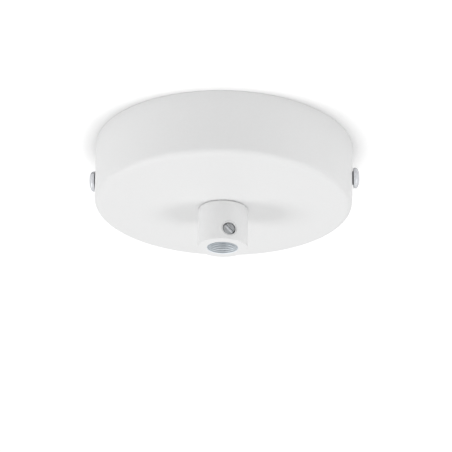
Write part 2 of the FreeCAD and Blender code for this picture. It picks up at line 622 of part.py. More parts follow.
# Terminal sleeves and their screws: one brass sleeve with two slotted screws for each pole
SCREW_FACE = f"({SLEEVE_BORE_LEVEL} - Sizes.sleeve_bore / 2 - Sizes.terminal_length)"
face_down = FreeCAD.Rotation(FreeCAD.Vector(1, 0, 0), 180)
for pole in range(POLES):
    pole_out = f"({FIRST_POLE} + {pole} * Sizes.pole_pitch)"
    sleeve = new_body(f"terminal_sleeve_{pole + 1}")
    sleeve_end = new_sketch(sleeve, "SleeveEnd", "YZ_Plane")
    sleeve_outline(sleeve_end, "0", "0")
    circle(sleeve_end, "0", SLEEVE_BORE_LEVEL, "Sizes.sleeve_bore / 2")
    pad(sleeve, sleeve_end, "Bar", "Sizes.sleeve_length", symmetric=True)
    tapped = new_sketch(sleeve, "TappedHoles", "XY_Plane", SLEEVE_BORE_LEVEL)
    for side in ("-", ""):
        circle(tapped, f"{side}Sizes.turret_spacing / 2", "0", TERMINAL_TAPPED)
    pocket(sleeve, tapped, "ScrewThreads")
    place(sleeve, x="Sizes.block_reach", y=pole_out, z=BLOCK_BASE)
    for letter, side in (("a", "-"), ("b", "+")):
        screw = headless_screw(
            f"terminal_screw_{pole + 1}{letter}", "Sizes.terminal_thread", "Sizes.terminal_length",
            "Sizes.terminal_slot_width", "Sizes.terminal_slot_depth")
        place(screw, x=f"Sizes.block_reach {side} Sizes.turret_spacing / 2", y=pole_out,
              z=f"{BLOCK_BASE} + {SCREW_FACE}", rotation=face_down)

# Block screws: they pass through the webs and end flush in the strap's threads
BLOCK_SCREW_HEAD = ["Sizes.block_screw_head", "Sizes.block_screw_head_height",
                    "Sizes.terminal_slot_width", "Sizes.terminal_slot_depth"]
BLOCK_SCREW_LENGTH = "(Sizes.web_thickness + Sizes.strap_thickness - Sizes.tip_back)"
for side_name, side in (("front", "-"), ("back", "")):
    block_screw = pan_screw(
        f"block_screw_{side_name}", "Sizes.block_thread", BLOCK_SCREW_LENGTH, *BLOCK_SCREW_HEAD)
    place(block_screw, x="Sizes.block_reach", y=f"{side}{BLOCK_SCREW_OUT}",
          z=f"{BLOCK_BASE} - Sizes.web_thickness", rotation=face_down)

# Earth terminal: a bent saddle, a toothed washer and a screw in the strap's drawn collar
saddle = new_body("earth_saddle")
saddle_side = new_sketch(saddle, "SideProfile", "XZ_Plane")
SADDLE_OUT = "Sizes.saddle_length / 2"
SADDLE_IN = "(Sizes.saddle_length / 2 - Sizes.saddle_thickness)"
outline(saddle_side, [
    (f"-{SADDLE_OUT}", "-Sizes.saddle_thickness", "Sizes.saddle_thickness"),
    (SADDLE_OUT, "-Sizes.saddle_thickness", "Sizes.saddle_thickness"),
    (SADDLE_OUT, "Sizes.saddle_lip"),
    (SADDLE_IN, "Sizes.saddle_lip"),
    (SADDLE_IN, "0"),
    (f"-{SADDLE_IN}", "0"),
    (f"-{SADDLE_IN}", "Sizes.saddle_lip"),
    (f"-{SADDLE_OUT}", "Sizes.saddle_lip"),
])
pad(saddle, saddle_side, "BentPlate", "Sizes.saddle_width", symmetric=True)
saddle_hole = new_sketch(saddle, "HoleOutline", "XY_Plane")
circle(saddle_hole, "0", "0", "Sizes.fixing_thread / 2 + Sizes.washer_play")
pocket(saddle, saddle_hole, "ScrewHole", symmetric=True)
place(saddle, x="-Sizes.earth_reach", z=f"-{EARTH_STACK}")

earth_washer = toothed_washer(
    "earth_washer", "Sizes.fixing_thread", "Sizes.earth_washer_outer",
    "Sizes.earth_washer_thickness", "Sizes.earth_washer_notch", "Sizes.earth_washer_gap")
EARTH_HEAD = f"({EARTH_STACK} + Sizes.saddle_thickness + Sizes.earth_washer_thickness)"
place(earth_washer, x="-Sizes.earth_reach", z=f"-{EARTH_HEAD}")

EARTH_LENGTH = f"({EARTH_HEAD} - Sizes.tip_back)"
earth_screw = pan_screw("earth_screw", "Sizes.fixing_thread", EARTH_LENGTH, *FIXING_HEAD, *FIXING_SLOT)
place(earth_screw, x="-Sizes.earth_reach", z=f"-{EARTH_HEAD}", rotation=face_down)

# Every feature has to be sound before anything is written
doc.recompute()
failed = [item.Name for item in doc.Objects if {"Invalid", "Error"} & set(item.State)]
if failed:
    raise RuntimeError(f"these objects failed: {failed}")
for piece in pieces:
    if piece.Shape.isNull() or not piece.Shape.isValid() or len(piece.Shape.Solids) != 1:
        raise RuntimeError(f"{piece.Label} is not one sound solid")

os.makedirs("parts", exist_ok=True)
for piece in pieces:
    piece.Shape.exportStep(f"parts/{piece.Label}.step")
    print(f"{piece.Label}: {piece.Shape.Volume:.1f} mm3")
print(f"{len(pieces)} pieces")
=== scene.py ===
"""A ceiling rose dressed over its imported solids: cup, cord grip, screws, bracket and terminal block."""
import math

import bmesh
import bpy
import numpy as np
from mathutils import Matrix


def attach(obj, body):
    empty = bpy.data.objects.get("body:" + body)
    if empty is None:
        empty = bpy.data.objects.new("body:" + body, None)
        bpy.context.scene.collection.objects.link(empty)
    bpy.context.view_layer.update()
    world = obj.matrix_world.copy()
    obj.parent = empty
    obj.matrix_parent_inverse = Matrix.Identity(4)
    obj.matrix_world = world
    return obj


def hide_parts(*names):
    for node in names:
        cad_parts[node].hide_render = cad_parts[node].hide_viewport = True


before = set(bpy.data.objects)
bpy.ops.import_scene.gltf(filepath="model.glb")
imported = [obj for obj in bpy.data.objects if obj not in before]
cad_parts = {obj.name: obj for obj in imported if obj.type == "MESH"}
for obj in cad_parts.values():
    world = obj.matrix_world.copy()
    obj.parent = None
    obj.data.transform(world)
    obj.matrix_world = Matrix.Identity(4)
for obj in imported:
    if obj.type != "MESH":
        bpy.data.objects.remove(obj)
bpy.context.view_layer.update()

# The cup
# It is deep-drawn from 1.2 mm sheet steel and powder-coated white. Its rim lies on the ceiling, its wall
# draws in towards its floor, and it is pierced in the middle for the tube and on both sides for the screws.
CUP_RADIUS, CUP_DEPTH, CUP_WALL = 0.050, 0.025, 0.0012
CUP_EDGE, CUP_DRAFT = 0.0025, 0.0005
CUP_HOLE, SIDE_HOLE, SIDE_HOLE_LEVEL = 0.00525, 0.0023, -0.0125
RIM_ROUND, COAT_ROUND, CUP_CORNER = 0.0005, 0.00025, CUP_EDGE - CUP_WALL
CUP_FLOOR_LINES = (0.040, 0.025, 0.0125)
RIM_STEPS, EDGE_STEPS, COAT_STEPS, CORNER_STEPS = 5, 14, 3, 8
SIDE_WINDOW = {"core": 0.0018, "half": 0.0040}
WINDOW_CELLS, MARGIN_CELLS, WALL_CELLS = 8, 3, 77
MERGE_DISTANCE, SLIVER_LENGTH = 1e-6, 1e-7


def new_material(name, values):
    """A material with one Principled shader, whose plain values stand on the shader's own sockets."""
    made = bpy.data.materials.new(name)
    made.use_nodes = True
    shader = made.node_tree.nodes["Principled BSDF"]
    for socket, value in values.items():
        shader.inputs[socket].default_value = value
    return made


def noise(made, size, detail=3.0, stretch=(1, 1, 1)):
    """The Fac output of a noise over Object coordinates, with blotches of about the given size in metres.
    The pattern is drawn out along an axis whose stretch is under one."""
    nodes, links = made.node_tree.nodes, made.node_tree.links
    place, turn, texture = (nodes.new("ShaderNode" + kind) for kind in ("TexCoord", "Mapping", "TexNoise"))
    turn.inputs["Scale"].default_value = [share / size for share in stretch]
    texture.inputs["Scale"].default_value = 1.0
    texture.inputs["Detail"].default_value = detail
    links.new(place.outputs["Object"], turn.inputs["Vector"])
    links.new(turn.outputs["Vector"], texture.inputs["Vector"])
    return texture.outputs["Fac"]


def vary_colour(made, source, dark, light, low=0.3, high=0.7):
    """The base colour runs evenly from dark to light as the source runs from low to high."""
    nodes, links = made.node_tree.nodes, made.node_tree.links
    ramp = nodes.new("ShaderNodeValToRGB")
    for end, position, colour in zip(ramp.color_ramp.elements, (low, high), (dark, light)):
        end.position = position
        end.color = (*colour, 1)
    links.new(source, ramp.inputs["Fac"])
    links.new(ramp.outputs["Color"], nodes["Principled BSDF"].inputs["Base Color"])


def vary_roughness(made, source, smooth, rough, low=0.3, high=0.7):
    """The roughness runs evenly from smooth to rough as the source runs from low to high."""
    nodes, links = made.node_tree.nodes, made.node_tree.links
    spread = nodes.new("ShaderNodeMapRange")
    for socket, value in zip(("From Min", "From Max", "To Min", "To Max"), (low, high, smooth, rough)):
        spread.inputs[socket].default_value = value
    links.new(source, spread.inputs["Value"])
    links.new(spread.outputs["Result"], nodes["Principled BSDF"].inputs["Roughness"])


def raise_grain(made, *layers):
    """Bumps one above another: each layer is a source and its height in metres from lowest to highest."""
    nodes, links = made.node_tree.nodes, made.node_tree.links
    below = None
    for source, height in layers:
        bump = nodes.new("ShaderNodeBump")
        bump.inputs["Distance"].default_value = height
        links.new(source, bump.inputs["Height"])
        if below is not None:
            links.new(below, bump.inputs["Normal"])
        below = bump.outputs["Normal"]
    links.new(below, nodes["Principled BSDF"].inputs["Normal"])


white_coat = new_material("white_coat", {"Specular IOR Level": 0.42, "IOR": 1.5})
vary_colour(white_coat, noise(white_coat, size=0.0008),
            dark=(0.848, 0.850, 0.850), light=(0.862, 0.864, 0.864))
vary_roughness(white_coat, noise(white_coat, size=0.0012), smooth=0.48, rough=0.58)
raise_grain(white_coat, (noise(white_coat, size=0.0011, detail=1.0), 0.000008),
            (noise(white_coat, size=0.00040, detail=2.0), 0.000006))


def net_faces(rows, columns, round_rows=False, round_columns=False, left_out=None):
    """Four-cornered faces of a net of points, numbered row by row. A round net also joins its last line to
    its first. left_out is true for each cell that gets no face."""
    cell_rows, cell_columns = np.arange(rows - (not round_rows)), np.arange(columns - (not round_columns))
    down, along = np.meshgrid(cell_rows, cell_columns, indexing="ij")
    if left_out is not None:
        down, along = down[~left_out], along[~left_out]
    down, along = down.ravel(), along.ravel()
    next_down, next_along = (down + 1) % rows, (along + 1) % columns
    return np.stack([down * columns + along, next_down * columns + along,
                     next_down * columns + next_along, down * columns + next_along], axis=-1)


def joined(*nets):
    """Several nets of points and faces as one, the faces of each numbered on from the points before it."""
    starts = np.cumsum([0] + [len(points.reshape(-1, 3)) for points, _ in nets[:-1]])
    return (np.concatenate([points.reshape(-1, 3) for points, _ in nets]),
            np.concatenate([faces + start for (_, faces), start in zip(nets, starts)]))


def clean(mesh, sharp):
    """Merges the points of a mesh that meet, so that seams and poles close, turns its faces outwards, and
    shades it smooth but for the edges that turn by more than the sharp angle in degrees."""
    edit = bmesh.new()
    edit.from_mesh(mesh)
    bmesh.ops.remove_doubles(edit, verts=edit.verts, dist=MERGE_DISTANCE)
    bmesh.ops.dissolve_degenerate(edit, edges=edit.edges, dist=SLIVER_LENGTH)
    bmesh.ops.recalc_face_normals(edit, faces=edit.faces)
    edit.to_mesh(mesh)
    edit.free()
    mesh.shade_smooth()
    mesh.set_sharp_from_angle(angle=math.radians(sharp))


def dress(name, net, finish, node, sharp=38, body="rose"):
    """Makes a piece of a net of points and faces, in place of its CAD node and on that node's body."""
    points, faces = net
    mesh = bpy.data.meshes.new(name)
    mesh.from_pydata(points.reshape(-1, 3), [], faces)
    clean(mesh, sharp)
    mesh.materials.append(finish)
    piece = bpy.data.objects.new(name, mesh)
    bpy.context.scene.collection.objects.link(piece)
    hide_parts(node)
    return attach(piece, body)


def arc(centre, radius, start, end, steps):
    """Profile points on a circle: the centre's distance from the axis and its height, plus the radius times
    the cosine and the sine of angles that run evenly from start to end in degrees."""
    turn = np.radians(np.linspace(start, end, steps + 1))
    return np.stack([centre[0] + radius * np.cos(turn), centre[1] + radius * np.sin(turn)], axis=-1)


def hole_steps(core, half, across, outside):
    """Distances from a hole's middle at which its net has lines: evenly over the core, then out to half."""
    return np.concatenate([np.linspace(-half, -core, outside + 1)[:-1], np.linspace(-core, core, across + 1),
                           np.linspace(core, half, outside + 1)[1:]])


def columns_round(radius, steps, whole, back_cells):
    """Angles of a round net's columns. At a hole they are the arc sines of its steps over the radius, and
    from there they run evenly round the rest of the whole angle."""
    near = np.arcsin(steps / radius)
    return np.concatenate([near, np.linspace(near[-1], whole + near[0], back_cells + 1)[1:-1]])


def drawn_round(sideways, upward, core, half, radius):
    """Draws a square net round a hole. A point stays where it is at the distance half from the middle,
    measured along its larger coordinate, lies on the hole's circle at the distance core, and moves evenly
    in between."""
    larger = np.maximum(abs(sideways), abs(upward))
    pull = np.clip((half - larger) / (half - core), 0, 1)
    scale = 1 - pull + pull * radius / np.maximum(np.hypot(sideways, upward), SLIVER_LENGTH)
    return sideways * scale, upward * scale


def edge_of(block_rows, block_columns, columns):
    """Numbers of the points round a block of a net that has so many columns, in order round the block."""
    (top, bottom), (left, right) = block_rows, block_columns
    down = np.concatenate([np.full(right - left, top), np.arange(top, bottom), np.full(right - left, bottom),
                           np.arange(bottom, top, -1)])
    along = np.concatenate([np.arange(left, right), np.full(bottom - top, right), np.arange(right, left, -1),
                            np.full(bottom - top, left)])
    return down * columns + along % columns


def round_hole(rim, level):
    """A hole's rim, with its points in order of their angle about the X axis at the hole's level."""
    return rim[np.argsort(np.arctan2(rim[:, 2] - level, rim[:, 1]))]


hole_lines = hole_steps(**SIDE_WINDOW, across=WINDOW_CELLS, outside=MARGIN_CELLS)
window = SIDE_HOLE_LEVEL - hole_lines
floor_level = CUP_WALL - CUP_DEPTH
inside = CUP_RADIUS - CUP_WALL
outer_wall = np.stack([CUP_RADIUS + CUP_DRAFT * window / CUP_DEPTH, window], axis=-1)
inner_wall = (outer_wall - (CUP_WALL, 0))[::-1]
rim_outside = arc((CUP_RADIUS - RIM_ROUND, -RIM_ROUND), RIM_ROUND, 90, 0, RIM_STEPS)
rim_inside = arc((inside + RIM_ROUND, -RIM_ROUND), RIM_ROUND, 180, 90, RIM_STEPS)
cup_profile = np.concatenate([
    rim_outside,
    outer_wall,
    arc((CUP_RADIUS - CUP_DRAFT - CUP_EDGE, CUP_EDGE - CUP_DEPTH), CUP_EDGE, 0, -90, EDGE_STEPS),
    [[ring, -CUP_DEPTH] for ring in CUP_FLOOR_LINES],
    arc((CUP_HOLE + COAT_ROUND, COAT_ROUND - CUP_DEPTH), COAT_ROUND, -90, -180, COAT_STEPS),
    arc((CUP_HOLE + COAT_ROUND, floor_level - COAT_ROUND), COAT_ROUND, 180, 90, COAT_STEPS),
    [[ring, floor_level] for ring in CUP_FLOOR_LINES[::-1]],
    arc((inside - CUP_DRAFT - CUP_CORNER, floor_level + CUP_CORNER), CUP_CORNER, -90, 0, CORNER_STEPS),
    inner_wall,
    rim_inside,
])
windows = (len(rim_outside), len(cup_profile) - len(rim_inside) - len(window))
half_turn = columns_round(CUP_RADIUS, hole_lines, np.pi, WALL_CELLS)
cup_angles = np.concatenate([half_turn, half_turn + np.pi])

radius, height = (np.repeat(cup_profile[:, i:i + 1], len(cup_angles), 1) for i in (0, 1))
angle = np.repeat(cup_angles[None], len(cup_profile), 0)
from_hole = np.repeat(np.tile(half_turn, 2)[None], len(cup_profile), 0)
rows = np.concatenate([np.arange(first, first + len(window)) for first in windows])
columns = np.concatenate([np.arange(len(window)), np.arange(len(window)) + len(half_turn)])
block = np.ix_(rows, columns)
sideways, upward = drawn_round(radius[block] * np.sin(from_hole[block]), height[block] - SIDE_HOLE_LEVEL,
                               **SIDE_WINDOW, radius=SIDE_HOLE)
angle[block] += np.arcsin(sideways / radius[block]) - from_hole[block]
height[block] = SIDE_HOLE_LEVEL + upward
cup_points = np.stack([radius * np.cos(angle), radius * np.sin(angle), height], axis=-1)

left_out = np.zeros(radius.shape, bool)
hole_walls = []
for column in (MARGIN_CELLS, len(half_turn) + MARGIN_CELLS):
    rims = []
    for row in windows:
        hole_rows = (row + MARGIN_CELLS, row + MARGIN_CELLS + WINDOW_CELLS)
        hole_columns = (column, column + WINDOW_CELLS)
        left_out[slice(*hole_rows), slice(*hole_columns)] = True
        rim = cup_points.reshape(-1, 3)[edge_of(hole_rows, hole_columns, len(cup_angles))]
        rims.append(round_hole(rim, SIDE_HOLE_LEVEL))
    hole_walls.append((np.stack(rims), net_faces(2, len(rims[0]), round_columns=True)))
cup_net = joined((cup_points, net_faces(*radius.shape, True, True, left_out)), *hole_walls)
dress("cup_pressed", cup_net, white_coat, "cup")

# The two side screws
# They are slotted M4 pan-head screws of nickel-plated steel. They pass through the cup's sides into the
# bracket's ears, and their heads press the cup's wall against the ears.
HALFWAY_DRAFT = CUP_DRAFT / 2
SIDE_SCREW = {"crest": 0.0020, "pitch": 0.0007, "length": 0.0080, "slot": 0.0012, "slot_depth": 0.0010,
              "head": 0.0040, "head_height": 0.0024, "skirt": 0.0009, "bevel": HALFWAY_DRAFT}
# Where the side screws get painted shade: up to a height over the seat, and in the slot up to a height and
# with a margin.
SHADED_SEAT, SHADED_SLOT_TOP, SHADED_SLOT_MARGIN = 0.00023, 0.0020, 0.00001
CROWN_POWER, SLOT_CHORDS, THREAD_DEPTH, TIP_CONE = 2.4, 5, 0.61, 0.7

nickel_plate = new_material("nickel_plate", {"Metallic": 1.0})
vary_colour(nickel_plate, noise(nickel_plate, size=0.0010),
            dark=(0.54, 0.55, 0.575), light=(0.66, 0.67, 0.69))
vary_roughness(nickel_plate, noise(nickel_plate, size=0.0004), smooth=0.34, rough=0.46)
raise_grain(nickel_plate, (noise(nickel_plate, size=0.0005, detail=2.0), 0.000006))
# A darker copy of the plate: painted shade for the gaps under the side screws' heads, for their slots and for
# the sunk clamp screw.
painted_shade_plate = new_material("painted_shade_plate", {"Metallic": 1.0})
vary_colour(painted_shade_plate, noise(painted_shade_plate, size=0.0007), dark=(0.31, 0.32, 0.33), light=(0.42, 0.43, 0.44))
vary_roughness(painted_shade_plate, noise(painted_shade_plate, size=0.0004), smooth=0.36, rough=0.50)
raise_grain(painted_shade_plate, (noise(painted_shade_plate, size=0.0003, detail=2.0), 0.000010))


def thread_rings(crest, pitch, top, bottom, angles, per_turn=8):
    """Rings of a right-hand thread, from top to bottom. Going down, the radius swings evenly between crest
    and root, once for each pitch. One turn runs through one pitch, and a cone draws both ends in."""
    levels = np.append(np.arange(top, bottom, -pitch / per_turn), bottom)[:, None]
    swing = np.abs(2 * ((levels / pitch - angles / (2 * np.pi)) % 1) - 1)
    cone = crest - TIP_CONE * pitch + np.minimum(top - levels, levels - bottom)
    return np.minimum(crest - THREAD_DEPTH * pitch * swing, cone), levels + 0 * angles


def slotted_screw(crest, pitch, length, slot, slot_depth, head=None, head_height=0.0, skirt=0.0, bevel=0.0,
                  chords=9, along=19):
    """The net of a slotted screw about +Z. Height 0 is a headless screw's face, or lies the bevel above a
    pan head's seat. The face is a net of chords across the slot, doubled at the slot's walls. The height
    along each is the crown's, which falls from its top as the square root of one less a power of the
    distance from the middle, or the slot's floor where that is lower. Rings round the axis go on from the
    face's rim, under the head and down the thread, to a closed tip."""
    rim = head or crest - bevel
    half_slot = math.asin(slot / 2 / rim)
    lean = np.concatenate([np.linspace(-np.pi / 2, -half_slot, chords),
                           np.linspace(-half_slot, half_slot, SLOT_CHORDS),
                           np.linspace(half_slot, np.pi / 2, chords)])
    in_slot = (np.arange(len(lean)) >= chords) & (np.arange(len(lean)) < chords + SLOT_CHORDS)
    x = np.repeat(rim * np.sin(lean)[:, None], along, 1)
    y = rim * np.cos(lean)[:, None] * np.sin(np.linspace(-np.pi / 2, np.pi / 2, along))
    share = np.minimum(np.hypot(x, y) / rim, 1)
    crown = skirt + (head_height - skirt) * np.sqrt(1 - share ** CROWN_POWER) if head else np.zeros_like(x)
    slot_floor = head_height - slot_depth
    z = np.where(in_slot[:, None], np.minimum(crown, slot_floor), crown)
    face = np.stack([x, y, z], axis=-1)
    loop = np.concatenate([face[:, -1], face[::-1, 0]])
    angles = np.arctan2(loop[:, 1], loop[:, 0])
    low = loop.copy()
    low[:, 2] = np.minimum(low[:, 2], slot_floor)
    radii, levels = thread_rings(crest, pitch, -bevel, -length, angles)
    if head:
        # The underside, from the head's rim in to the thread: distances from the axis, and heights.
        under = np.array([[head, 0.28 * skirt], [head - 0.00012, 0.16 * skirt], [0.67 * head, 0.06 * skirt],
                          [0.64 * head, -bevel], [crest * 0.97, -bevel]])
        radii = np.concatenate([np.repeat(under[:, :1], len(angles), 1), radii])
        levels = np.concatenate([np.repeat(under[:, 1:], len(angles), 1), levels])
    radii, levels = np.append(radii, 0 * radii[-1:], 0), np.append(levels, levels[-1:], 0)
    rings = np.stack([radii * np.cos(angles), radii * np.sin(angles), levels], axis=-1)
    rings = np.concatenate([loop[None], low[None], rings])
    return joined((face, net_faces(*x.shape)), (rings, net_faces(*rings.shape[:2], round_columns=True)))


def face_middles(mesh):
    """The middle of each face of a mesh, a row each."""
    middles = np.empty(len(mesh.polygons) * 3)
    mesh.polygons.foreach_get("center", middles)
    return middles.reshape(-1, 3)


def second_finish(piece, finish, faces):
    """Gives another finish to the faces of a piece for which faces is true."""
    piece.data.materials.append(finish)
    piece.data.polygons.foreach_set("material_index", faces.astype(np.int32))


def placed(net, at, out, slot_turn):
    """A screw's net moved to a point, its axis turned from +Z to the way out, and its slot turned about
    that axis by the given degrees from level."""
    points, faces = net
    out = np.array(out, float) / np.linalg.norm(out)
    level = np.cross((0, 0, 1), out) if abs(out[2]) < 0.9 else np.array((1.0, 0, 0))
    level /= np.linalg.norm(level)
    steep = np.cross(out, level)
    turn = math.radians(slot_turn)
    along = math.cos(turn) * level + math.sin(turn) * steep
    across = np.cross(along, out)
    return points @ np.stack([across, along, out]) + np.array(at), faces


side_screw = slotted_screw(**SIDE_SCREW)
for node, side, slot_turn in (("side_screw_left", -1, 34), ("side_screw_right", 1, -52)):
    seat = (side * CUP_RADIUS, 0, SIDE_HOLE_LEVEL)
    screw = dress(f"{node}_slotted", placed(side_screw, seat, (side, 0, 0), slot_turn), nickel_plate, node,
                  sharp=32)
    x, y, z = face_middles(screw.data).T
    turn = math.radians(slot_turn)
    above_seat = abs(x) - CUP_RADIUS
    off_slot = abs(side * math.sin(turn) * y - math.cos(turn) * (z - SIDE_HOLE_LEVEL))
    # The slot's faces and those under the head's rim take the darker plate, a painted shade in these
    # recesses.
    in_slot = (off_slot < SIDE_SCREW["slot"] / 2 + SHADED_SLOT_MARGIN) & (above_seat < SHADED_SLOT_TOP)
    second_finish(screw, painted_shade_plate, in_slot | (above_seat < SHADED_SEAT))

# The bracket
# It is one strap of 1.5 mm steel, bent to a flat U and clear zinc-plated after punching. Two screws through
# its slots hold it to the ceiling, and its drawn collars take the side screws and the earth screw.
zinc_plate = new_material("zinc_plate", {"Metallic": 1.0})
vary_colour(zinc_plate, noise(zinc_plate, size=0.0007, detail=4.0, stretch=(0.08, 1, 1)),
            dark=(0.645, 0.665, 0.69), light=(0.71, 0.725, 0.745))
vary_roughness(zinc_plate, noise(zinc_plate, size=0.0012, stretch=(0.15, 1, 1)), smooth=0.32, rough=0.42)
raise_grain(zinc_plate, (noise(zinc_plate, size=0.0004, stretch=(0.05, 1, 1)), 0.000003))


def soften(node, name, finish, width, steps=2, body="rose"):
    """A copy of a CAD node with its loose triangles joined into whole faces, and with every edge that turns
    by more than the edge angle rounded by a Bevel of the given width."""
    flat_angle, edge_angle = math.radians(1), math.radians(32)
    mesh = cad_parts[node].data.copy()
    mesh.name = name
    edit = bmesh.new()
    edit.from_mesh(mesh)
    bmesh.ops.remove_doubles(edit, verts=edit.verts, dist=MERGE_DISTANCE)
    bmesh.ops.dissolve_limit(edit, angle_limit=flat_angle, verts=edit.verts, edges=edit.edges)
    edit.to_mesh(mesh)
    edit.free()
    mesh.shade_smooth()
    mesh.set_sharp_from_angle(angle=edge_angle)
    mesh.materials.clear()
    mesh.materials.append(finish)
    piece = bpy.data.objects.new(name, mesh)
    bpy.context.scene.collection.objects.link(piece)
    bevel = piece.modifiers.new("rounded edges", "BEVEL")
    bevel.limit_method, bevel.angle_limit = "ANGLE", edge_angle
    bevel.width, bevel.segments, bevel.harden_normals = width, steps, True
    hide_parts(node)
    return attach(piece, body)


soften("ceiling_bracket", "ceiling_bracket_plated", zinc_plate, width=0.00012)

# The threaded tube
# It is a hollow M10 x 1 lamp tube of zinc-plated steel. The lock nut and the cord grip pull together on it,
# with the cup's floor between them, and the lamp's cord leaves the cup through it.
TUBE_CREST, TUBE_BORE, TUBE_PITCH = 0.0050, 0.0040, 0.0010
TUBE_TOP, TUBE_BOTTOM, TUBE_CHAMFER = -0.0180, -0.0315, 0.0002
tube_angles = np.linspace(-np.pi, np.pi, 72, endpoint=False)
radii, levels = thread_rings(TUBE_CREST, TUBE_PITCH, TUBE_TOP, TUBE_BOTTOM, tube_angles)
bore = np.array([[TUBE_BORE + TUBE_CHAMFER, TUBE_BOTTOM], [TUBE_BORE, TUBE_BOTTOM + TUBE_CHAMFER],
                 [TUBE_BORE, TUBE_TOP - TUBE_CHAMFER], [TUBE_BORE + TUBE_CHAMFER, TUBE_TOP]])
radii = np.concatenate([radii, np.repeat(bore[:, :1], len(tube_angles), 1)])
levels = np.concatenate([levels, np.repeat(bore[:, 1:], len(tube_angles), 1)])
tube_points = np.stack([radii * np.cos(tube_angles), radii * np.sin(tube_angles), levels], axis=-1)
dress("threaded_tube_cut", (tube_points, net_faces(*radii.shape, True, True)), zinc_plate, "threaded_tube",
      sharp=50)

# The toothed washers
# They are spring-steel lock washers with twisted outer teeth. The large one lies under the lock nut on the
# cup's floor, and the small one under the earth screw's head.


def toothed_ring(centre, inner, root, tip, top, bottom, teeth=12):
    """A flat ring whose rim is teeth. Round the ring, stations lead over each tooth at the tip's radius and
    through each gap at the root's. A tooth's tip has half the ring's thickness, and it leans evenly from a
    quarter of the thickness below the middle to a quarter above."""
    over = np.array([0.00, 0.14, 0.28, 0.42, 0.56, 0.62, 0.80, 0.94])
    reach = np.array([tip, tip, tip, tip, tip, root, root, root])
    lean = np.array([-1.0, -0.5, 0, 0.5, 1.0, 0, 0, 0])
    angles = ((np.arange(teeth)[:, None] + over) * 2 * np.pi / teeth).ravel()
    reach, lean = np.tile(reach, teeth), np.tile(lean, teeth)
    middle, thick = (top + bottom) / 2, (top - bottom) / 2
    tilt = lean * thick / 2
    rows = [(inner, 0, thick), (root, 0, thick), (reach, tilt, thick / 2), (reach, tilt, -thick / 2),
            (root, 0, -thick), (inner, 0, -thick)]
    points = np.stack([np.stack([centre[0] + r * np.cos(angles), centre[1] + r * np.sin(angles),
                                 middle + lift + offset + 0 * angles], axis=-1) for r, lift, offset in rows])
    return points, net_faces(len(rows), len(angles), True, True)


nut_washer = toothed_ring((0, 0), inner=0.0052, root=0.0075, tip=0.0090, top=-0.0230, bottom=-0.0238)
earth_washer = toothed_ring((-0.016, 0), inner=0.0021, root=0.0031, tip=0.00396, top=-0.0041, bottom=-0.0049,
                            teeth=10)
dress("toothed_washer_twisted", nut_washer, zinc_plate, "toothed_washer", sharp=30)
dress("earth_washer_twisted", earth_washer, zinc_plate, "earth_washer", sharp=30)

# The lock nut
# It is a thin M10 x 1 hexagon nut of zinc-plated steel, chamfered on both faces. It clamps the toothed
# washer and the cup's floor against the cord grip.
NUT_FLAT, NUT_TOP, NUT_BOTTOM, NUT_CHAMFER = 0.0070, -0.0200, -0.0230, 0.0066
NUT_BORE, NUT_MOUTH, NUT_MOUTH_DEPTH, CHAMFER_SLOPE = 0.00505, 0.0055, 0.0004, math.radians(30)
nut_angles = np.linspace(0, 2 * np.pi, 96, endpoint=False)
to_side = NUT_FLAT / np.cos(nut_angles % math.radians(60) - math.radians(30))
drop = (to_side - NUT_CHAMFER) * math.tan(CHAMFER_SLOPE)
nut_rows = [(NUT_BORE, NUT_BOTTOM + NUT_MOUTH_DEPTH), (NUT_MOUTH, NUT_BOTTOM), (NUT_CHAMFER, NUT_BOTTOM),
            (to_side, NUT_BOTTOM + drop), (to_side, NUT_TOP - drop),
            (NUT_CHAMFER, NUT_TOP), (NUT_MOUTH, NUT_TOP), (NUT_BORE, NUT_TOP - NUT_MOUTH_DEPTH)]
nut_points = np.stack([np.stack([r * np.cos(nut_angles), r * np.sin(nut_angles), z + 0 * nut_angles], axis=-1)
                       for r, z in nut_rows])
dress("lock_nut_chamfered", (nut_points, net_faces(len(nut_rows), len(nut_angles), True, True)), zinc_plate,
      "lock_nut", sharp=20)

# The cord grip
# It is turned from steel bar, relieved at its top, and powder-coated with the cup. Its bore stays bare:
# tapped for the tube above, wider and ringed by the tool below. A hole in its side takes the clamp screw.
GRIP_RADIUS, GRIP_TOP, GRIP_BOTTOM, GRIP_EDGE = 0.0095, -0.0250, -0.0410, 0.00015
GRIP_NECK, GRIP_RELIEF, GRIP_SHOULDER = 0.0086, 0.0003, 0.0003
BORE_RADIUS, BORE_TOP, MOUTH = 0.00585, -0.0320, 0.00025
TAPPED_RADIUS, TAPPED_CHAMFER = 0.00505, 0.0003
RING_PITCH, RING_HEIGHT = 0.00075, 0.00007
BORE_LOW_LINES, BORE_HIGH_LINES = np.linspace(-0.0404, -0.0400, 3), np.linspace(-0.0329, -0.0321, 5)
CLAMP_TURN, CLAMP_LEVEL, CLAMP_RIM, CLAMP_HOLE = math.radians(-70), -0.0365, 0.00305, 0.00255
OUTER_WINDOW = {"core": 0.0024, "half": 0.0039}
INNER_WINDOW = {"core": 0.0019, "half": 0.0034}
HOLE_CELLS, SIDE_CELLS, BACK_CELLS = 28, 8, 89

bare_steel = new_material("bare_steel", {"Metallic": 1.0})
vary_colour(bare_steel, noise(bare_steel, size=0.0010, detail=4.0, stretch=(0.3, 0.3, 3)),
            dark=(0.73, 0.76, 0.79), light=(0.81, 0.84, 0.86))
vary_roughness(bare_steel, noise(bare_steel, size=0.0006, detail=4.0, stretch=(0.4, 0.4, 3)),
               smooth=0.58, rough=0.70)
raise_grain(bare_steel, (noise(bare_steel, size=0.0003, stretch=(0.1, 0.1, 3)), 0.000006))


def straight(radius, levels):
    """Profile points one under another, all at one distance from the axis."""
    return np.stack([np.full(len(levels), radius), levels], axis=-1)


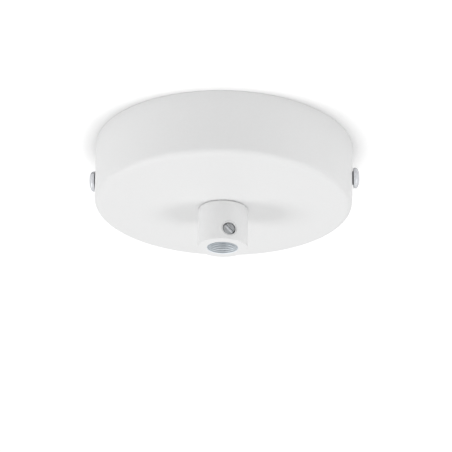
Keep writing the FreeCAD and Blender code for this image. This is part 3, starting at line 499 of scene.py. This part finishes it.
outer_lines = hole_steps(**OUTER_WINDOW, across=HOLE_CELLS, outside=SIDE_CELLS)
inner_lines = hole_steps(**INNER_WINDOW, across=HOLE_CELLS, outside=SIDE_CELLS)
grip_top = np.concatenate([
    [[TAPPED_RADIUS, GRIP_TOP - TAPPED_CHAMFER], [TAPPED_RADIUS + TAPPED_CHAMFER, GRIP_TOP]],
    [[GRIP_NECK, GRIP_TOP], [GRIP_NECK, GRIP_TOP - GRIP_RELIEF]],
    arc((GRIP_RADIUS - GRIP_SHOULDER, GRIP_TOP - GRIP_RELIEF - GRIP_SHOULDER), GRIP_SHOULDER, 90, 0, 3),
])
grip_mouth = np.concatenate([
    arc((GRIP_RADIUS - GRIP_EDGE, GRIP_BOTTOM + GRIP_EDGE), GRIP_EDGE, 0, -90, 5),
    arc((BORE_RADIUS + MOUTH, GRIP_BOTTOM + MOUTH), MOUTH, -90, -180, 5),
    straight(BORE_RADIUS, BORE_LOW_LINES),
])
bore_end = [[BORE_RADIUS, BORE_TOP], [TAPPED_RADIUS + TAPPED_CHAMFER, BORE_TOP],
            [TAPPED_RADIUS, BORE_TOP + TAPPED_CHAMFER]]
grip_profile = np.concatenate([grip_top, straight(GRIP_RADIUS, CLAMP_LEVEL - outer_lines), grip_mouth,
                               straight(BORE_RADIUS, CLAMP_LEVEL + inner_lines),
                               straight(BORE_RADIUS, BORE_HIGH_LINES), bore_end])
outer_row = len(grip_top)
inner_row = outer_row + len(outer_lines) + len(grip_mouth)
outer_angles = columns_round(GRIP_RADIUS, outer_lines, 2 * np.pi, BACK_CELLS)
inner_angles = columns_round(BORE_RADIUS, inner_lines, 2 * np.pi, BACK_CELLS)
inward = np.interp(np.arange(len(grip_profile)), [outer_row + len(outer_lines), inner_row], [0, 1])[:, None]
inward[-3:] = [[1], [0.5], [0]]
angle = (1 - inward) * outer_angles + inward * inner_angles
radius, height = (np.repeat(grip_profile[:, i:i + 1], angle.shape[1], 1) for i in (0, 1))
left_out = np.zeros(angle.shape, bool)
hole_edges = []
for row, hole_window, hole in ((outer_row, OUTER_WINDOW, CLAMP_RIM), (inner_row, INNER_WINDOW, CLAMP_HOLE)):
    block = np.ix_(np.arange(row, row + len(outer_lines)), np.arange(len(outer_lines)))
    sideways, upward = drawn_round(radius[block] * np.sin(angle[block]), height[block] - CLAMP_LEVEL,
                                   **hole_window, radius=hole)
    angle[block] = np.arcsin(sideways / radius[block])
    height[block] = CLAMP_LEVEL + upward
    hole_rows = (row + SIDE_CELLS, row + SIDE_CELLS + HOLE_CELLS)
    hole_columns = (SIDE_CELLS, SIDE_CELLS + HOLE_CELLS)
    left_out[slice(*hole_rows), slice(*hole_columns)] = True
    hole_edges.append(edge_of(hole_rows, hole_columns, angle.shape[1]))
ringed = slice(inner_row - 2, len(grip_profile) - 4)
radius[ringed] += RING_HEIGHT * np.sin(2 * np.pi * height[ringed] / RING_PITCH)
grip_points = np.stack([radius * np.cos(angle), radius * np.sin(angle), height], axis=-1)
outer, inner = (round_hole(grip_points.reshape(-1, 3)[edge], CLAMP_LEVEL) for edge in hole_edges)

# The hole's wall goes in by rings, each a radius and its depth under the grip's round side. A fine groove
# comes first, then the shallow rim.
around = np.arctan2(outer[:, 2] - CLAMP_LEVEL, outer[:, 1])
hole_rings = [(CLAMP_RIM - 0.00004, 0.00024), (CLAMP_RIM - 0.00016, 0.00024), (CLAMP_RIM - 0.00022, 0.00006),
              (CLAMP_HOLE + 0.00010, 0.00008), (CLAMP_HOLE, 0.00020), (CLAMP_HOLE, 0.0010)]
between = [np.stack([np.sqrt(GRIP_RADIUS ** 2 - (r * np.cos(around)) ** 2) - depth, r * np.cos(around),
                     CLAMP_LEVEL + r * np.sin(around)], axis=-1) for r, depth in hole_rings]
hole_wall = np.stack([outer, *between, inner])
points, faces = joined((grip_points, net_faces(*angle.shape, True, True, left_out)),
                       (hole_wall, net_faces(len(hole_wall), len(around), round_columns=True)))
clamp_out = (math.cos(CLAMP_TURN), math.sin(CLAMP_TURN), 0)
towards_clamp = np.array([clamp_out, (-clamp_out[1], clamp_out[0], 0), (0, 0, 1)])
grip = dress("cord_grip_turned", (points @ towards_clamp, faces), white_coat, "cord_grip")
x, y, z = face_middles(grip.data).T
in_bore = (np.hypot(x, y) < BORE_RADIUS + MOUTH) & (z < GRIP_TOP - TAPPED_CHAMFER / 3)
second_finish(grip, bare_steel, in_bore)

# The clamp screw
# It is a slotted headless M5 screw of plated steel in the grip's side. It is shown in the darker plate as
# painted shade of its sunk hole, and its deeper faces near the axis, the slot's floor among them, in the
# bright plate as a painted highlight. Turned in, its end presses on the cord and takes the lamp's weight. It
# moves in and out along its own axis.
CLAMP_SCREW = {"crest": 0.0025, "pitch": 0.0008, "length": 0.0060, "slot": 0.0012, "slot_depth": 0.00045,
               "bevel": 0.00032}
CLAMP_FACE, CLAMP_SLOT_TURN = 0.0086, -42
# How deep and how near the axis the painted highlight on the slot's floor lies.
PAINTED_LIT_DEPTH, PAINTED_LIT_REACH = 0.0004, 0.0021
clamp_middle = (CLAMP_FACE * clamp_out[0], CLAMP_FACE * clamp_out[1], CLAMP_LEVEL)
screw = dress("clamp_screw_slotted",
              placed(slotted_screw(**CLAMP_SCREW), clamp_middle, clamp_out, CLAMP_SLOT_TURN),
              painted_shade_plate, "clamp_screw", sharp=32, body="clamp")
x, y, z = face_middles(screw.data).T
sunk = CLAMP_FACE - (x * clamp_out[0] + y * clamp_out[1])
off_axis = np.hypot(z - CLAMP_LEVEL, x * clamp_out[1] - y * clamp_out[0])
# The deeper faces near the axis take the bright plate, a painted highlight; the rest stays in painted shade.
second_finish(screw, nickel_plate, (sunk > PAINTED_LIT_DEPTH) & (off_axis < PAINTED_LIT_REACH))

# The terminal housing
# It is a three-pole terminal block moulded in one piece of natural nylon: three barrels, each with two
# turrets for its screws, joined by webs. Two screws through the webs hold it under the bracket.
nylon = new_material("nylon", {"Specular IOR Level": 0.45, "Subsurface Weight": 0.12,
                               "Subsurface Radius": (0.0012, 0.0010, 0.0007), "Subsurface Scale": 1.0})
vary_colour(nylon, noise(nylon, size=0.005), dark=(0.82, 0.81, 0.745), light=(0.87, 0.86, 0.80))
vary_roughness(nylon, noise(nylon, size=0.0008), smooth=0.40, rough=0.52)
raise_grain(nylon, (noise(nylon, size=0.0007, detail=2.0), 0.000010))
soften("terminal_housing", "terminal_housing_moulded", nylon, width=0.00030, steps=3)

# The brass sleeves
# They are three square sleeves, sawn from drawn brass bar and drilled through for the wires, one in each
# barrel of the block.
brass = new_material("brass", {"Metallic": 1.0})
vary_colour(brass, noise(brass, size=0.0015, detail=4.0, stretch=(0.3, 2, 2)),
            dark=(0.72, 0.53, 0.25), light=(0.83, 0.65, 0.36))
vary_roughness(brass, noise(brass, size=0.0006, detail=4.0, stretch=(0.2, 3, 3)), smooth=0.28, rough=0.44)
raise_grain(brass, (noise(brass, size=0.0004, stretch=(0.1, 3, 3)), 0.000006))
for pole in (1, 2, 3):
    soften(f"terminal_sleeve_{pole}", f"terminal_sleeve_{pole}_sawn", brass, width=0.00010)

# The terminal screws
# They are slotted headless M3 screws of plated steel, two in each sleeve, which press the wires down in it.
# The driver reaches them through the block's turrets, from below.
TERMINAL_SCREW = {"crest": 0.0015, "pitch": 0.0005, "length": 0.0054, "slot": 0.0008, "slot_depth": 0.0009,
                  "bevel": 0.0002, "chords": 6, "along": 13}
POLE_PITCH, TERMINAL_FACE = 0.012, -0.0129
terminal_screw = slotted_screw(**TERMINAL_SCREW)
for pole in (1, 2, 3):
    for end, x, slot_turn in (("a", 0.0101, 25 + 50 * pole), ("b", 0.0189, 100 - 35 * pole)):
        node = f"terminal_screw_{pole}{end}"
        at = (x, (pole - 2) * POLE_PITCH, TERMINAL_FACE)
        dress(f"{node}_slotted", placed(terminal_screw, at, (0, 0, -1), slot_turn), zinc_plate, node,
              sharp=32)

# The block screws
# They are two slotted M2.5 pan-head screws of zinc-plated steel, put up through the block's webs into tapped
# holes of the bracket.
BLOCK_SCREW = {"crest": 0.00125, "pitch": 0.00045, "length": 0.0050, "slot": 0.0008, "slot_depth": 0.0009,
               "head": 0.00225, "head_height": 0.0017, "skirt": 0.0007, "chords": 7, "along": 15}
BLOCK_MIDDLE, BLOCK_SEAT = 0.0145, -0.0051
block_screw = slotted_screw(**BLOCK_SCREW)
for node, y, slot_turn in (("block_screw_front", -0.006, 15), ("block_screw_back", 0.006, 70)):
    dress(f"{node}_slotted", placed(block_screw, (BLOCK_MIDDLE, y, BLOCK_SEAT), (0, 0, -1), slot_turn),
          zinc_plate, node, sharp=32)

# The earth terminal
# It is a small bent saddle of zinc-plated steel with a slotted M4 pan-head screw in the bracket's drawn
# collar. The earth wires go under the saddle, and the toothed washer keeps the screw tight.
EARTH_SCREW = {"crest": 0.0020, "pitch": 0.0007, "length": 0.0048, "slot": 0.0012, "slot_depth": 0.0010,
               "head": 0.0040, "head_height": 0.0024, "skirt": 0.0009}
EARTH_SEAT, EARTH_SLOT_TURN = (-0.016, 0, -0.0049), 60
soften("earth_saddle", "earth_saddle_bent", zinc_plate, width=0.00010)
dress("earth_screw_slotted", placed(slotted_screw(**EARTH_SCREW), EARTH_SEAT, (0, 0, -1), EARTH_SLOT_TURN),
      zinc_plate, "earth_screw", sharp=32)

# The ceiling and the floor
# The rose hangs under a plain white ceiling, which is open over the cup and clear from above, so that light
# and the eye reach the inner pieces there. A plain pale floor lies far below.
CEILING_WHITE, CEILING_GLOW, CEILING_GAP = (0.86, 0.86, 0.86), 0.34, 0.00001
CEILING_RINGS = (CUP_RADIUS - 0.65 * RIM_ROUND, 0.07, 0.12, 1.6)
SHADE_REACH, SHADE_DEEPEST = 0.008, 0.5
FLOOR_GREY, FLOOR_GLOW, FLOOR_LEVEL, FLOOR_RINGS = (0.8, 0.8, 0.8), 0.5, -0.9, (0.0, 1.0, 6.0)


def seen_ray(tree):
    """One for a camera, glossy or transmission ray, and nothing for a ray that only brings light."""
    rays = tree.nodes.new("ShaderNodeLightPath")
    seen = rays.outputs["Is Camera Ray"]
    for kind in ("Is Glossy Ray", "Is Transmission Ray"):
        either = tree.nodes.new("ShaderNodeMath")
        either.operation = "MAXIMUM"
        tree.links.new(seen, either.inputs[0])
        tree.links.new(rays.outputs[kind], either.inputs[1])
        seen = either.outputs[0]
    return seen


def stage_material(name, colour, glow):
    """A plain pale surface, with a glow added for what the camera sees of it, also in metal or glass."""
    made = bpy.data.materials.new(name)
    made.use_nodes = True
    nodes, links = made.node_tree.nodes, made.node_tree.links
    nodes.clear()
    diffuse, light, total, out = (nodes.new("ShaderNode" + kind) for kind in
                                  ("BsdfDiffuse", "Emission", "AddShader", "OutputMaterial"))
    strength = nodes.new("ShaderNodeMath")
    strength.operation, strength.inputs[1].default_value = "MULTIPLY", glow
    links.new(seen_ray(made.node_tree), strength.inputs[0])
    links.new(strength.outputs[0], light.inputs["Strength"])
    diffuse.inputs["Color"].default_value = (*colour, 1)
    links.new(diffuse.outputs[0], total.inputs[0])
    links.new(light.outputs[0], total.inputs[1])
    links.new(total.outputs[0], out.inputs["Surface"])
    return made


# The ceiling's glow fades where the cup shuts out the open air, a painted shade round the cup, and its back
# lets every ray through.
ceiling_paint = stage_material("ceiling_paint", CEILING_WHITE, CEILING_GLOW)
nodes, links = ceiling_paint.node_tree.nodes, ceiling_paint.node_tree.links
open_air, open_share, behind, clear, one_sided = (
    nodes.new("ShaderNode" + kind) for kind in
    ("AmbientOcclusion", "MapRange", "NewGeometry", "BsdfTransparent", "MixShader"))
open_air.inputs["Distance"].default_value = SHADE_REACH
open_share.inputs["From Min"].default_value, open_share.inputs["From Max"].default_value = SHADE_DEEPEST, 1.0
links.new(open_air.outputs["AO"], open_share.inputs["Value"])
links.new(open_share.outputs["Result"], nodes["Emission"].inputs["Color"])
links.new(behind.outputs["Backfacing"], one_sided.inputs[0])
links.new(nodes["Add Shader"].outputs[0], one_sided.inputs[1])
links.new(clear.outputs[0], one_sided.inputs[2])
links.new(one_sided.outputs[0], nodes["Material Output"].inputs["Surface"])
floor_paint = stage_material("floor_paint", FLOOR_GREY, FLOOR_GLOW)

turns = np.linspace(0, 2 * np.pi, 128, endpoint=False)
for name, rings, level, finish in (("ceiling", CEILING_RINGS, CEILING_GAP, ceiling_paint),
                                   ("floor", FLOOR_RINGS, FLOOR_LEVEL, floor_paint)):
    points = np.stack([np.outer(rings, np.cos(turns)), np.outer(rings, np.sin(turns)),
                       np.full((len(rings), len(turns)), level)], axis=-1)
    faces = net_faces(len(rings), len(turns), round_columns=True)
    mesh = bpy.data.meshes.new(name)
    mesh.from_pydata(points.reshape(-1, 3), [], faces[:, ::-1] if name == "ceiling" else faces)
    mesh.materials.append(finish)
    sheet = bpy.data.objects.new(name, mesh)
    bpy.context.scene.collection.objects.link(sheet)
bpy.data.objects["floor"].visible_diffuse = False
bpy.data.objects["floor"].visible_shadow = False

# The light
# A pale even sky, seen white, lights the rose with two wide soft lamps low at its sides, the left one a
# little stronger. A faint lamp stands below it, and the one above it is for the inner pieces.
SKY_LIGHT, SKY_SEEN = 0.605, 1.0
world = bpy.data.worlds.new("studio")
bpy.context.scene.world = world
world.use_nodes = True
sky = world.node_tree.nodes["Background"]
sky.inputs["Color"].default_value = (1, 1, 1, 1)
strength = world.node_tree.nodes.new("ShaderNodeMapRange")
strength.inputs["To Min"].default_value, strength.inputs["To Max"].default_value = SKY_LIGHT, SKY_SEEN
world.node_tree.links.new(seen_ray(world.node_tree), strength.inputs["Value"])
world.node_tree.links.new(strength.outputs["Result"], sky.inputs["Strength"])


def soft_lamp(name, place, aim, size, power):
    """A square area lamp at a place. It is tilted by the angle between straight down and the way to its aim,
    and turned about the vertical to face that way."""
    lamp = bpy.data.lights.new(name, "AREA")
    lamp.shape, lamp.size, lamp.energy = "SQUARE", size, power
    stand = bpy.data.objects.new(name, lamp)
    bpy.context.scene.collection.objects.link(stand)
    stand.location = place
    way = np.array(aim, float) - np.array(place)
    level_way = math.hypot(way[0], way[1])
    stand.rotation_euler = (math.atan2(level_way, -way[2]), 0, math.atan2(way[1], way[0]) - math.pi / 2)


soft_lamp("left_lamp", place=(-1.1, -0.30, -1.0), aim=(0, 0, -0.03), size=0.6, power=6.2)
soft_lamp("right_lamp", place=(0.95, -0.27, -1.05), aim=(0, 0, -0.03), size=0.6, power=4.8)
soft_lamp("low_lamp", place=(0.05, -0.1, -0.7), aim=(0, 0, -0.03), size=0.5, power=0.10)
soft_lamp("top_lamp", place=(-0.3, -0.5, 1.1), aim=(0, 0, -0.02), size=0.8, power=4.0)

# The camera
# It looks up at the rose from the front and a little to the right, with a long lens. Its angles, aim and
# lens put the rose's edges where the photograph has them.
LENS, DISTANCE, AIM = 115.54, 0.56, np.array((0.000863, 0.004348, -0.030125))
elevation, azimuth, roll = math.radians(22.869), math.radians(4.323), math.radians(-1.026)
ahead = np.array((0, math.cos(elevation), math.sin(elevation)))
up = np.array((0, -math.sin(elevation), math.cos(elevation)))
right = np.array((1.0, 0, 0))
screen_right = math.cos(roll) * right - math.sin(roll) * up
screen_up = math.sin(roll) * right + math.cos(roll) * up
yaw = np.array([[math.cos(azimuth), -math.sin(azimuth), 0], [math.sin(azimuth), math.cos(azimuth), 0],
                [0, 0, 1]])
pose = np.eye(4)
pose[:3, :3] = yaw @ np.stack([screen_right, screen_up, -ahead], axis=-1)
pose[:3, 3] = AIM - DISTANCE * (yaw @ ahead)
camera = bpy.data.objects.new("camera", bpy.data.cameras.new("camera"))
bpy.context.scene.collection.objects.link(camera)
camera.data.lens, camera.data.clip_start, camera.data.clip_end = LENS, 0.01, 50
camera.matrix_world = Matrix(pose.tolist())
bpy.context.scene.camera = camera
bpy.context.scene.view_settings.view_transform = "Standard"
